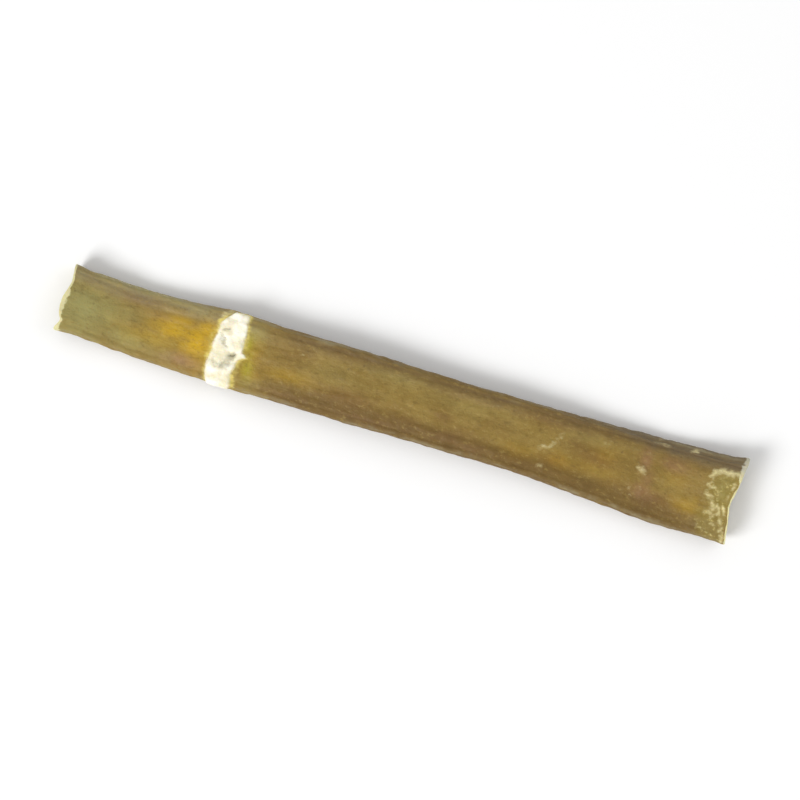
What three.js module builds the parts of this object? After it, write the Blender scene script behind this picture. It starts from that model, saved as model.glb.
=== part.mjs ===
// One dried flake of sea spaghetti, a brown seaweed whose long thongs dry to flat, leathery straps that are
// cut into short lengths. The flake is one piece of the plant, so it is one solid: a strap with rolled
// margins, lengthwise wrinkles, two cut ends where the tough skin stands round the paler pith, and a split
// where the pith has swollen out.
//
// Millimetres, +Z up. +X runs along the strap and +Y across it. The origin is on the surface that the flake
// lies on, under the middle of its box.
import * as THREE from "three";

// Driving dimensions. side is a place across the strap, from -1 at the -Y margin to 1 at the +Y margin.
const LENGTH = 31.0;
const BED = 0; // height of the surface that the flake lies on
const MARGIN = 0.4; // how far in from each side the rounded margin begins
const CROWN = 0.07; // how far the upper face stands domed along its middle
const CHANNEL = 0.17; // how far the underside is hollow along its middle
const LIP = { height: 0.045, side: 0.85, half: 0.09 }; // the rolled rim that stands proud along each margin
const ROLL = { drop: 0.3, fromSide: 0.45, fromX: 4, toX: 14 }; // the +Y margin turns down at the wide end
const SKIN = 0.13; // how thick the skin is where a cut shows it
const END_FLARE = { height: 0.09, reach: 0.9 }; // the skin curls out at a cut
const PITH_RECESS = 0.17; // how far the pith shrinks back inside a cut

// The strap at places along it: its width and thickness, where its middle lies in Y, how high its underside
// is above the bed, and its twist in degrees. It touches the bed at about 12 mm either side of the middle.
const STRAP = [
  { x: -15.6, width: 2.88, thick: 1.06, sway: 0.02, lift: 0.36, twist: -5 },
  { x: -12.2, width: 3.0, thick: 0.94, sway: -0.12, lift: -0.1, twist: 0 },
  { x: -10.0, width: 3.14, thick: 0.94, sway: -0.13, lift: 0.06, twist: 1 },
  { x: -8.1, width: 3.35, thick: 1.0, sway: -0.07, lift: 0.2, twist: 2 },
  { x: -5.8, width: 3.26, thick: 0.94, sway: -0.1, lift: 0.36, twist: 2.5 },
  { x: -2.0, width: 3.26, thick: 0.88, sway: -0.08, lift: 0.5, twist: 1.5 },
  { x: 2.0, width: 3.16, thick: 0.86, sway: -0.08, lift: 0.48, twist: -1.5 },
  { x: 6.0, width: 3.2, thick: 0.92, sway: -0.06, lift: 0.32, twist: -2.5 },
  { x: 9.4, width: 3.5, thick: 0.98, sway: -0.12, lift: 0.06, twist: -1 },
  { x: 12.2, width: 3.76, thick: 1.06, sway: -0.16, lift: -0.1, twist: 0 },
  { x: 15.6, width: 3.76, thick: 1.2, sway: -0.03, lift: 0.4, twist: 6 },
];

// The split in the upper face, from near the +Y margin to over the -Y one, with pits and lumps in its pith.
const SPLIT = { x: -8.12, half: 0.62, slant: 0.07, ragged: 0.07, edge: 0.12, height: 0.13 };
const SPLIT_END = { side: 0.98, slope: 0.55, last: 0.97 }; // where it ends at its x, to each mm, and at most
const SPLIT_TONGUE = { reach: 0.3, side: -0.1, half: 0.08 }; // a tongue of pith on its +X side
const SPLIT_PITS = [
  { x: -8.3, y: 0.88, radius: 0.14 },
  { x: -8.33, y: 0.36, radius: 0.16 },
  { x: -8.43, y: -0.62, radius: 0.18 },
  { x: -7.71, y: -0.3, radius: 0.18 },
  { x: -7.95, y: -0.62, radius: 0.2 },
];
const PIT_DEPTH = 0.2;
const SPLIT_LUMPS = { height: 0.04, along: 8.5, across: 6.5 };
const SPLIT_AT_MARGIN = 0.5; // how far the pith stands out of the -Y margin, against its height on top

// Folds in the skin, each from one point to another. A negative height is a furrow.
const TOP_FOLDS = [
  { from: [-14.9, 0.62], to: [-10.2, 0.3], height: -0.04, half: 0.22 },
  { from: [-14.2, -0.7], to: [-9.4, -0.85], height: 0.04, half: 0.2 },
  { from: [-7.2, 0.75], to: [-1.6, 0.42], height: -0.035, half: 0.22 },
  { from: [-3.6, -0.72], to: [0.4, -0.02], height: 0.06, half: 0.16 },
  { from: [-6.8, -0.9], to: [-0.8, -0.95], height: -0.04, half: 0.2 },
  { from: [0.4, 0.6], to: [5.6, 0.85], height: -0.04, half: 0.22 },
  { from: [1.2, -0.55], to: [6.0, -0.75], height: -0.045, half: 0.2 },
  { from: [6.4, -0.34], to: [7.3, 0.6], height: 0.05, half: 0.12 },
  { from: [7.4, 0.55], to: [12.6, 0.5], height: -0.04, half: 0.22 },
  { from: [7.8, -0.85], to: [13.4, -1.15], height: -0.05, half: 0.22 },
  { from: [9.6, -0.2], to: [13.2, -0.5], height: 0.045, half: 0.2 },
];
const UNDER_FOLDS = [
  { from: [-13.8, 0.5], to: [-8.6, 0.2], height: 0.07, half: 0.2 },
  { from: [-9.6, -0.6], to: [-3.0, -0.4], height: 0.07, half: 0.22 },
  { from: [-5.0, 0.55], to: [1.8, 0.3], height: 0.07, half: 0.2 },
  { from: [0.2, -0.5], to: [7.0, -0.35], height: 0.07, half: 0.22 },
  { from: [5.4, 0.6], to: [12.8, 0.4], height: 0.07, half: 0.22 },
];
const WART = { x: 10.98, y: 0.25, height: 0.08, radius: 0.22 };

// Fine lengthwise wrinkles: how high they are, how many radians they turn through from the middle to a side,
// how they drift across as they run along the strap, and how they fade and come back.
const WRINKLES = [
  { height: 0.016, across: 10.5, start: 1.1, drift: 0.9, driftPace: 0.42, fade: 0.35, fadePace: 0.7 },
  { height: 0.01, across: 19, start: 0.4, drift: 1.3, driftPace: 0.31, fade: 0.5, fadePace: 0.53 },
];
const WAVES = { height: 0.01, along: 1.9, across: 2.2 };
const UNDER_SHIFT = 9; // how far along the strap the underside's wrinkles are shifted against the top's

// The crackled skin beside the wide cut end, where the pith shows through.
const CRACKLE = { fromX: 13.6, toX: 14.3, fromSide: 0.4, toSide: 0.6, height: 0.05, along: 7.5, across: 8 };

// The cut ends: how far each bows out, at which side and over what half width, and the small teeth of both.
const NARROW_END_BOWS = [
  { out: 0.2, side: -0.22, half: 0.4 },
  { out: -0.06, side: -0.74, half: 0.12 },
  { out: 0.17, side: -1, half: 0.14 },
  { out: 0.06, side: 1, half: 0.3 },
];
const WIDE_END_BOWS = [
  { out: -0.32, side: -0.05, half: 0.7 },
  { out: 0.04, side: -1, half: 0.16 },
];
const TEETH = [
  { out: 0.03, across: 9, start: 1 },
  { out: 0.02, across: 23, start: 2 },
];
const CUT_REACH = 1.2; // how far behind a cut the skin still follows its edge
const FACE_LUMPS = { height: 0.03, along: 8, across: 6.5 };

// Mesh density.
const TOP_STEPS = 16;
const MARGIN_STEPS = 6;
const UNDER_STEPS = 12;
const COARSE_STEP = 0.46;
const FINE_STEP = 0.15;
const FINE_REACH = 1; // how far behind a cut the steps are fine
const PITH_RINGS = [0.27, 0.52, 0.77]; // places from the skin, 0, to the middle of a cut face, 1

const smooth = THREE.MathUtils.smoothstep;
const bump = (distance, half) => Math.exp(-((distance / half) ** 2));

// Uneven lumps and hollows, which turn through so many radians in a millimetre along and across.
function lumps({ height, along, across }, x, y) {
  return height * Math.sin(along * x + 2 * Math.sin(3 * y)) * Math.sin(across * y + 1.7 * Math.sin(4 * x));
}

// Smooth values between the places that STRAP gives.
const KEYS = ["width", "thick", "sway", "lift", "twist"];
const strapCurve = new THREE.CubicInterpolant(
  STRAP.map((place) => place.x),
  STRAP.flatMap((place) => KEYS.map((key) => place[key])),
  KEYS.length,
);

function strapAt(x) {
  const [width, thick, sway, lift, twist] = strapCurve.evaluate(x);
  return { width, thick, sway, lift, twist: THREE.MathUtils.degToRad(twist) };
}

// Height of one fold at a point: it is highest along its line and fades out sideways and past its ends.
function fold({ from, to, height, half }, x, y) {
  const run = to[0] - from[0];
  const along = THREE.MathUtils.clamp((x - from[0]) / run, 0, 1);
  const aside = y - THREE.MathUtils.lerp(from[1], to[1], along);
  const past = x - from[0] - along * run;
  const taper = Math.sin(Math.PI * (0.15 + 0.7 * along));
  return height * taper * bump(aside, half) * bump(past, 3 * half);
}

const folds = (list, x, y) => list.reduce((sum, each) => sum + fold(each, x, y), 0);

function wrinkles(x, side) {
  const waves = WAVES.height * Math.sin(WAVES.along * x + WAVES.across * side);
  return WRINKLES.reduce((sum, row) => {
    const drift = row.drift * Math.sin(row.driftPace * x);
    const strength = 1 - row.fade + row.fade * Math.sin(row.fadePace * x);
    return sum + row.height * strength * Math.sin(row.across * side + drift + row.start);
  }, waves);
}

// How much of the split's swollen pith stands at a point, 0 to 1, with a ragged edge on both sides.
function splitShare(x, side) {
  const middle = SPLIT.x + SPLIT.slant * Math.sin(2.4 * side + 0.5);
  const tongue = x > middle ? SPLIT_TONGUE.reach * bump(side - SPLIT_TONGUE.side, SPLIT_TONGUE.half) : 0;
  const half = SPLIT.half + SPLIT.ragged * (Math.sin(5 * side + 1) + 0.7 * Math.sin(13 * side)) + tongue;
  const along = 1 - smooth(Math.abs(x - middle), half - SPLIT.edge, half + SPLIT.edge);
  const endsAt = Math.min(SPLIT_END.side + SPLIT_END.slope * (x - SPLIT.x), SPLIT_END.last);
  return along * (1 - smooth(side, endsAt - SPLIT.edge, endsAt));
}

function splitRelief(x, y, side) {
  const pits = SPLIT_PITS.reduce((deepest, pit) => {
    return Math.max(deepest, bump(Math.hypot(x - pit.x, y - pit.y), pit.radius));
  }, 0);
  return splitShare(x, side) * (SPLIT.height + lumps(SPLIT_LUMPS, x, y) - PIT_DEPTH * pits);
}

function crackleRelief(x, y, side) {
  const along = smooth(x, CRACKLE.fromX, CRACKLE.toX);
  const across = 1 - smooth(side, CRACKLE.fromSide, CRACKLE.toSide);
  return along * across * lumps(CRACKLE, x, y);
}

function topRelief(x, y, side) {
  const crown = CROWN * (1 - side * side);
  const lips = LIP.height * bump(Math.abs(side) - LIP.side, LIP.half);
  const rolled = -ROLL.drop * smooth(side, ROLL.fromSide, 1) * smooth(x, ROLL.fromX, ROLL.toX);
  const wart = WART.height * bump(Math.hypot(x - WART.x, y - WART.y), WART.radius);
  const skin = crown + lips + rolled + wart + wrinkles(x, side) + folds(TOP_FOLDS, x, y);
  return skin + splitRelief(x, y, side) + crackleRelief(x, y, side);
}

function underRelief(x, y, side) {
  const hollow = -CHANNEL * (1 - side * side) ** 2;
  return hollow + wrinkles(x + UNDER_SHIFT, -side) - folds(UNDER_FOLDS, x, y);
}

// How far a cut bows out from a straight one, and how far the teeth of its skin stand out from that.
function cutBow(end, side) {
  const bows = end < 0 ? NARROW_END_BOWS : WIDE_END_BOWS;
  return bows.reduce((sum, bow) => sum + bow.out * bump(side - bow.side, bow.half), 0);
}

function teeth(end, side, up) {
  return TEETH.reduce((sum, { out, across, start }) => {
    return sum + out * Math.sin(across * side + start * end + up);
  }, 0);
}

// One turn round the strap: the place across, -1 to 1, between where the two rounded margins begin, and the
// way the surface faces there, in radians from +Y to +Z.
const SECTION = [];
for (let i = 0; i < TOP_STEPS; i++) {
  SECTION.push({ across: 1 - (2 * i) / TOP_STEPS, facing: Math.PI / 2 });
}
for (let i = 0; i < MARGIN_STEPS; i++) {
  SECTION.push({ across: -1, facing: Math.PI * (0.5 + i / MARGIN_STEPS) });
}
for (let i = 0; i < UNDER_STEPS; i++) {
  SECTION.push({ across: -1 + (2 * i) / UNDER_STEPS, facing: Math.PI * 1.5 });
}
for (let i = 0; i < MARGIN_STEPS; i++) {
  SECTION.push({ across: 1, facing: Math.PI * (1.5 + i / MARGIN_STEPS) });
}

// A point of the flake. inward is 0 on the skin and 1 in the middle of a cut face, and recess is how far that
// face has shrunk back there.
function pointOn(x, { across, facing }, inward, recess) {
  const { width, thick, sway, lift, twist } = strapAt(x);
  const half = width / 2;
  const out = { y: Math.cos(facing), z: Math.sin(facing) };
  let y = across * (half - MARGIN) + MARGIN * out.y;
  let z = (thick / 2) * out.z;
  const side = y / half;

  // Relief on the skin, which fades round the margins.
  const top = Math.max(out.z, 0) * topRelief(x, y, side);
  const under = Math.max(-out.z, 0) * underRelief(x, y, side);
  const atMargin = (1 - Math.abs(out.z)) * smooth(out.z, -0.6, 0);
  const marginSplit = atMargin * splitShare(x, side) * SPLIT.height * SPLIT_AT_MARGIN;
  const fromEnd = LENGTH / 2 - Math.abs(x);
  const flare = END_FLARE.height * (1 - smooth(fromEnd, 0, END_FLARE.reach));
  const relief = top + under + marginSplit + flare - (inward > 0 ? SKIN : 0);
  y += relief * out.y;
  z += relief * out.z;

  // Towards the middle of a cut face.
  y *= 1 - inward;
  z *= 1 - inward;
  const end = Math.sign(x);
  const atSkin = 1 - smooth(inward, 0, PITH_RINGS[0]);
  const torn = cutBow(end, side * (1 - inward)) + teeth(end, side, out.z) * atSkin;
  const behindCut = 1 - smooth(fromEnd, 0, CUT_REACH);
  const face = recess > 0 ? recess + lumps(FACE_LUMPS, z, y) : 0;

  // Twist the section, put it in its place and flatten what would sink into the bed.
  const height = lift + thick / 2;
  return new THREE.Vector3(
    x + end * (torn * behindCut - face),
    sway + y * Math.cos(twist) - z * Math.sin(twist),
    Math.max(height + y * Math.sin(twist) + z * Math.cos(twist), BED),
  );
}

// Rows of points from the middle of one cut face, along the strap and to the middle of the other.
function rowsAlong() {
  const end = LENGTH / 2;
  const cut = [
    { inward: 1, recess: PITH_RECESS },
    ...PITH_RINGS.toReversed().map((inward) => ({ inward, recess: PITH_RECESS })),
    { inward: 0.04, recess: PITH_RECESS * 0.6 },
    { inward: 0.001, recess: 0 },
  ];
  const rows = cut.map((ring) => ({ x: -end, ...ring }));
  for (let x = -end; x < end - FINE_STEP / 2; ) {
    rows.push({ x, inward: 0, recess: 0 });
    const nearSplit = Math.abs(x - SPLIT.x) < SPLIT.half + SPLIT_TONGUE.reach + 0.2;
    const nearEnd = end - Math.abs(x) < FINE_REACH;
    x += nearSplit || nearEnd ? FINE_STEP : COARSE_STEP;
  }
  rows.push({ x: end, inward: 0, recess: 0 });
  rows.push(...cut.toReversed().map((ring) => ({ x: end, ...ring })));
  return rows;
}

// A round blank is turned with one ring for each row, and each of its points is moved to its place.
function flakeGeometry() {
  const rows = rowsAlong();
  const profile = rows.map(({ x, inward }) => new THREE.Vector2(1 - inward, x));
  const blank = new THREE.LatheGeometry(profile, SECTION.length);
  const points = blank.getAttribute("position");
  for (let column = 0; column <= SECTION.length; column++) {
    rows.forEach(({ x, inward, recess }, row) => {
      const point = pointOn(x, SECTION[column % SECTION.length], inward, recess);
      points.setXYZ(column * rows.length + row, point.x, point.y, point.z);
    });
  }
  blank.computeVertexNormals();
  return blank;
}

const geometry = flakeGeometry();
geometry.computeBoundingBox();
const middle = geometry.boundingBox.getCenter(new THREE.Vector3());
geometry.translate(-middle.x, -middle.y, 0);

const driedSkin = new THREE.MeshStandardMaterial({ color: 0x8c763c, roughness: 0.55, metalness: 0 });
const flake = new THREE.Mesh(geometry, driedSkin);
flake.name = "flake";

const part = new THREE.Group();
part.add(flake);
export default part;
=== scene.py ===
"""Looks of one dried flake of sea spaghetti, lying on a pale floor and seen from straight above."""

import math

import bmesh
import bpy
import numpy as np
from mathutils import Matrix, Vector, noise


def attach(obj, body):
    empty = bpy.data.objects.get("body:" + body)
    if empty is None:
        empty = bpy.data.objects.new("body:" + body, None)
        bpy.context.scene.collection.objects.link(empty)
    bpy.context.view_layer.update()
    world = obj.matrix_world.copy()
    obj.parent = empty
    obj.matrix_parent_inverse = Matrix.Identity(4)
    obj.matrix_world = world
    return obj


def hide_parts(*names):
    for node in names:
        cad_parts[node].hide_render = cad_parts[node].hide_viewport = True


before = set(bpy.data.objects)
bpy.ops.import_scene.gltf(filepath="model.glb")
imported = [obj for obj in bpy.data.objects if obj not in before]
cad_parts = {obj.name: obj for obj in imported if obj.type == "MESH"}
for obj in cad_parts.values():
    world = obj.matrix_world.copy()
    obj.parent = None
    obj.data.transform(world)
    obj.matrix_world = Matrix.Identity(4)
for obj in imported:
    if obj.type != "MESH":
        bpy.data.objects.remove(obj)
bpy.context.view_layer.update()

MM = 0.001

# The strap's form, in mm, as in the solid that it stands for. side is a place across the strap, from -1 at
# the -Y margin to 1 at the +Y margin.
LENGTH = 31.0
HALF_LENGTH = LENGTH / 2
MARGIN = 0.4  # how far in from each side the rounded margin begins
CROWN = 0.07  # how far the upper face stands domed along its middle
CHANNEL = 0.17  # how far the underside is hollow along its middle
LIP_HEIGHT, LIP_SIDE, LIP_HALF = 0.04, 0.9, 0.07  # the rolled rim that stands proud along each margin
GROOVE_DEPTH, GROOVE_SIDE, GROOVE_HALF = 0.02, 0.8, 0.05  # the furrow along the inside of that rim
WALL_FURROW, WALL_FURROW_UP, WALL_FURROW_HALF = 0.03, -0.15, 0.25  # the furrow along each side wall
ROLL_DROP, ROLL_FROM_SIDE = 0.3, 0.45  # the +Y margin turns down towards the wide end
ROLL_FROM_X, ROLL_TO_X = 4, 14
SKIN = 0.12  # how thick the skin is where a cut shows it
END_FLARE, FLARE_REACH = 0.09, 0.9  # the skin curls out at a cut
PITH_RECESS, PITH_ROUGH = 0.16, 0.07  # how far the pith shrinks back inside a cut, and how rough it is
PITH_TO_SKIN, PITH_DEEP = (0.7, 0.86), 0.3  # where outwards a cut's pith ends, and how deep it can lie
TORN_OUTWARD = (0.55, 0.85)  # where outwards a cut's torn edge begins and is full
CUT_REACH = 1.2  # how far behind a cut the skin still follows its edge

# Places along the strap: x, width, thickness, sway in Y, height of the underside and twist in degrees.
PLACES = np.array([
    [-15.6, 2.88, 1.06, 0.02, 0.36, -5],
    [-12.2, 3.0, 0.94, -0.12, -0.1, 0],
    [-10.0, 3.14, 0.94, -0.13, 0.06, 1],
    [-8.1, 3.35, 1.0, -0.07, 0.2, 2],
    [-5.8, 3.26, 0.94, -0.1, 0.36, 2.5],
    [-2.0, 3.26, 0.88, -0.08, 0.5, 1.5],
    [2.0, 3.16, 0.86, -0.08, 0.48, -1.5],
    [6.0, 3.2, 0.92, -0.06, 0.32, -2.5],
    [9.4, 3.5, 0.98, -0.12, 0.06, -1],
    [12.2, 3.76, 1.06, -0.16, -0.1, 0],
    [15.6, 3.76, 1.2, -0.03, 0.4, 6],
])

# The split in the upper face: it ends short of the +Y margin, on a slant, and runs over the -Y one.
SPLIT_X, SPLIT_HALF, SPLIT_SLANT, SPLIT_RAGGED, SPLIT_EDGE = -8.12, 0.62, 0.07, 0.06, 0.13
SPLIT_HEIGHT, SPLIT_LUMPS = 0.13, 0.035
SPLIT_ENDS_AT, SPLIT_END_SLOPE, SPLIT_LAST_END = 0.98, 0.55, 0.97  # at SPLIT_X, to each mm, and at most
SPLIT_END_FADES = (0.07, 0.02)  # how far before and past that side it fades out
SPLIT_LOWEST = (-0.5, -0.2)  # how low on the -Y wall it begins and is full, where -1 is the underside
SPLIT_AT_MARGIN = 0.5  # how far the pith stands out of the -Y margin, as a share of its height on top
SPLIT_HALO, HALO_LOWEST = 0.2, (0.1, 0.7)  # how far the painted glow reaches on the skin beside it, and how low on the +Y wall
TONGUE_REACH, TONGUE_SIDE, TONGUE_HALF = 0.3, -0.1, 0.08  # a tongue of pith on its +X side
FOOT_NARROWS, FOOT_FROM_SIDE = 0.3, 0.62  # how far its -X side draws in at the -Y margin, and from where
CRACK_STRAYS = (0.14, 0.12)  # how far its cracks stray from their lines in x and y
# Cracks and hollows in its pith, sunk into it and painted with their shade: from x, y to x, y, half width and
# strength.
SPLIT_CRACKS = [
    (-8.44, 0.84, -8.16, 0.92, 0.06, 0.62), (-8.5, 0.58, -8.16, 0.08, 0.13, 0.52),
    (-8.6, -0.45, -8.25, -0.78, 0.11, 0.42), (-7.66, -0.2, -7.76, -0.36, 0.12, 0.95),
    (-7.8, -0.46, -7.9, -0.58, 0.12, 0.6), (-7.94, -0.66, -8.06, -0.76, 0.12, 0.6),
    (-7.86, -0.36, -7.94, -0.74, 0.2, 0.52), (-8.02, 1.28, -7.9, 1.22, 0.06, 0.25),
]
CRACK_DEPTH = 0.15

# Folds in the skin: from x, y to x, y, height (below 0 for a furrow) and half width.
TOP_FOLDS = [
    (-14.9, 0.62, -10.2, 0.3, -0.04, 0.22), (-14.2, -0.7, -9.4, -0.85, 0.04, 0.2),
    (-7.2, 0.75, -1.6, 0.42, -0.035, 0.22), (-3.6, -0.72, 0.4, -0.02, 0.06, 0.16),
    (-6.8, -0.9, -0.8, -0.95, -0.04, 0.2), (0.4, 0.6, 5.6, 0.85, -0.04, 0.22),
    (1.2, -0.55, 6.0, -0.75, -0.045, 0.2), (6.4, -0.34, 7.3, 0.6, 0.05, 0.12),
    (7.4, 0.55, 12.6, 0.5, -0.04, 0.22), (7.8, -0.85, 13.4, -1.15, -0.05, 0.22),
    (9.6, -0.2, 13.2, -0.5, 0.045, 0.2),
]
UNDER_FOLDS = [
    (-13.8, 0.5, -8.6, 0.2, 0.07, 0.2), (-9.6, -0.6, -3.0, -0.4, 0.07, 0.22),
    (-5.0, 0.55, 1.8, 0.3, 0.07, 0.2), (0.2, -0.5, 7.0, -0.35, 0.07, 0.22),
    (5.4, 0.6, 12.8, 0.4, 0.07, 0.22),
]

# Fine lengthwise wrinkles: height, radians that they turn through from the middle to a side, start, drift and
# its pace along the strap, and how far and how fast they fade and come back.
WRINKLES = [
    (0.016, 10.5, 1.1, 0.9, 0.42, 0.35, 0.7), (0.01, 19, 0.4, 1.3, 0.31, 0.5, 0.53),
    (0.005, 37, 2.2, 2.1, 0.47, 0.6, 0.83),
]
WAVE_HEIGHT, WAVE_ALONG, WAVE_ACROSS = 0.01, 1.9, 2.2
UNDER_SHIFT = 9  # how far along the strap the underside's wrinkles are shifted against the top's

# Warts: x, y, height and radius. The first is the big one and the others stand round it.
WARTS = [
    (10.98, 0.25, 0.08, 0.2), (10.66, 0.56, 0.03, 0.15), (11.1, 0.76, 0.035, 0.16),
    (11.35, 0.05, 0.03, 0.14), (10.75, -0.5, 0.04, 0.18), (11.25, -0.72, 0.035, 0.16),
    (10.5, -0.96, 0.03, 0.15), (11.7, -0.42, 0.025, 0.15), (12.1, 0.54, 0.025, 0.2),
    (0.9, -0.35, 0.02, 0.14), (3.6, -0.85, 0.02, 0.2),
]

# The crackled skin beside the wide cut end.
CRACKLE_FROM_X, CRACKLE_TO_X, CRACKLE_FROM_SIDE, CRACKLE_TO_SIDE = 13.6, 14.3, 0.4, 0.6
CRACKLE_HEIGHT = 0.035

# The cut ends: how far each bows out, at which side and over what half width.
NARROW_END_BOWS = [(0.2, -0.22, 0.4), (-0.06, -0.74, 0.09), (0.17, -1, 0.14), (0.06, 1, 0.3)]
WIDE_END_BOWS = [(-0.32, -0.05, 0.7), (0.04, -1, 0.16)]
WIDE_BOW = 0.25  # the least half width of a bow that the pith follows
CHIPS = 0.05  # how far small chips stand out of the edge or are broken from it
ENDS_APART = 3  # how far apart the two cuts lie in the random grain


def smooth(value, low, high):
    """0 below low, 1 above high and an even slope between."""
    share = np.clip((value - low) / (high - low), 0, 1)
    return share * share * (3 - 2 * share)


def bump(distance, half):
    return np.exp(-((distance / half) ** 2))


def stroke(x, y, line):
    """How near places are to a short line from x, y to x, y: 1 on it, and fading over its half width."""
    x0, y0, x1, y1, half = line
    run_x, run_y = x1 - x0, y1 - y0
    along = np.clip(((x - x0) * run_x + (y - y0) * run_y) / (run_x**2 + run_y**2), 0, 1)
    return bump(np.hypot(x - x0 - along * run_x, y - y0 - along * run_y), half)


def grain(places, size, seed, octaves=3):
    """Random numbers from about -1 to 1 at places in mm that change over about size mm."""
    places = places / np.array(size) + seed
    return np.array([noise.fractal(Vector(place), 1.0, 2.0, octaves) for place in places])


def strap_at(x):
    """Width, thickness, sway, lift and twist along the strap, from a cubic between the rows of PLACES."""
    at, values = PLACES[:, 0], PLACES[:, 1:]
    last = len(at) - 1
    x = np.clip(x, at[0], at[last])
    i = np.clip(np.searchsorted(at, x, side="right"), 1, last)
    start, end = at[i - 1], at[i]
    first, final = i < 2, i == last
    before, after = np.where(first, i, i - 2), np.where(final, i - 1, np.minimum(i + 1, last))
    pull_before = (end - start) / 2 / (start - np.where(first, end, at[before]))
    pull_after = (end - start) / 2 / (np.where(final, start, at[after]) - end)
    p = (x - start) / (end - start)
    shares = [
        -pull_before * (p**3 - 2 * p**2 + p),
        (1 + pull_before) * p**3 - (1.5 + 2 * pull_before) * p**2 + (pull_before - 0.5) * p + 1,
        -(1 + pull_after) * p**3 + (1.5 + pull_after) * p**2 + 0.5 * p,
        pull_after * (p**3 - p**2),
    ]
    rows = [before, i - 1, i, after]
    width, thick, sway, lift, twist = sum(share[:, None] * values[row] for share, row in zip(shares, rows)).T
    return width, thick, sway, lift, np.radians(twist)


def folds(table, x, y):
    """How high folds stand, in mm. Each swells along its line and fades past its ends."""
    total = np.zeros_like(x)
    for x0, y0, x1, y1, height, half in table:
        along = np.clip((x - x0) / (x1 - x0), 0, 1)
        aside = y - (y0 + (y1 - y0) * along)
        past = x - x0 - along * (x1 - x0)
        total += height * np.sin(np.pi * (0.15 + 0.7 * along)) * bump(aside, half) * bump(past, 3 * half)
    return total


def wrinkles(x, side):
    """Fine lengthwise wrinkles, which drift across the strap as they run along it."""
    total = WAVE_HEIGHT * np.sin(WAVE_ALONG * x + WAVE_ACROSS * side)
    for height, across, start, drift, drift_pace, fade, fade_pace in WRINKLES:
        strength = 1 - fade + fade * np.sin(fade_pace * x)
        total += height * strength * np.sin(across * side + drift * np.sin(drift_pace * x) + start)
    return total


def lumpy(x, y):
    """Uneven lumps about 0.4 mm across, from -1 to 1."""
    return np.sin(8.5 * x + 2 * np.sin(3 * y)) * np.sin(6.5 * y + 1.7 * np.sin(4 * x))


# Modelling helpers.


def select_only(piece):
    if bpy.context.object and bpy.context.object.mode != "OBJECT":
        bpy.ops.object.mode_set(mode="OBJECT")
    bpy.ops.object.select_all(action="DESELECT")
    piece.select_set(True)
    bpy.context.view_layer.objects.active = piece


def pick(piece, wanted, mode="VERT"):
    """Selects the corners or faces of a piece in edit mode for which wanted says yes."""
    shape = bmesh.from_edit_mesh(piece.data)
    bpy.ops.mesh.select_mode(type=mode)
    bpy.ops.mesh.select_all(action="DESELECT")
    for element in shape.verts if mode == "VERT" else shape.faces:
        if wanted(element):
            element.select_set(True)
    shape.select_flush_mode()
    bmesh.update_edit_mesh(piece.data)


def cut_across(axis, places):
    """Bisects the whole shape in edit mode with a plane at each place along an axis."""
    for place in places:
        bpy.ops.mesh.select_all(action="SELECT")
        point = [0, 0, 0]
        point[axis] = place
        bpy.ops.mesh.bisect(plane_co=point, plane_no=[float(axis == i) for i in range(3)], threshold=1e-8)


def finish_modifiers(piece):
    select_only(piece)
    for modifier in list(piece.modifiers):
        bpy.ops.object.modifier_apply(modifier=modifier.name)


# The strap, first straight and smooth. Its section is an oblong of sides and heights from -1 to 1, with rows
# between, whose corners are drawn in to round the margins.
RING_STEP = 0.5
FIRST_RING, PAST_LAST_RING = 0.6, 0.35  # how far from the ends the even rings start and stop
RINGS_BY_A_CUT = (0.05, 0.25)  # how far from each end the last rings are
ROWS_ACROSS = (-0.86, -0.6, -0.22, 0.22, 0.6, 0.86)
ROWS_UP = (-0.5, 0.5)
ROUNDED = [  # side and height of a row, and where it is drawn to
    ((1, 1), (0.94, 0.74)),
    ((1, 0.5), (1.0, 0.42)),
    ((0.86, 1), (0.855, 0.965)),
]
OUTER_SHARE = 1.01  # the cage is this much larger than the smooth shape inside it
PITH_LIP = 0.04  # how wide the ring is that holds the edge of the pith
SMOOTHING = 3  # times that the cage is subdivided
NEAR = 1e-7  # metres


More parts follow.
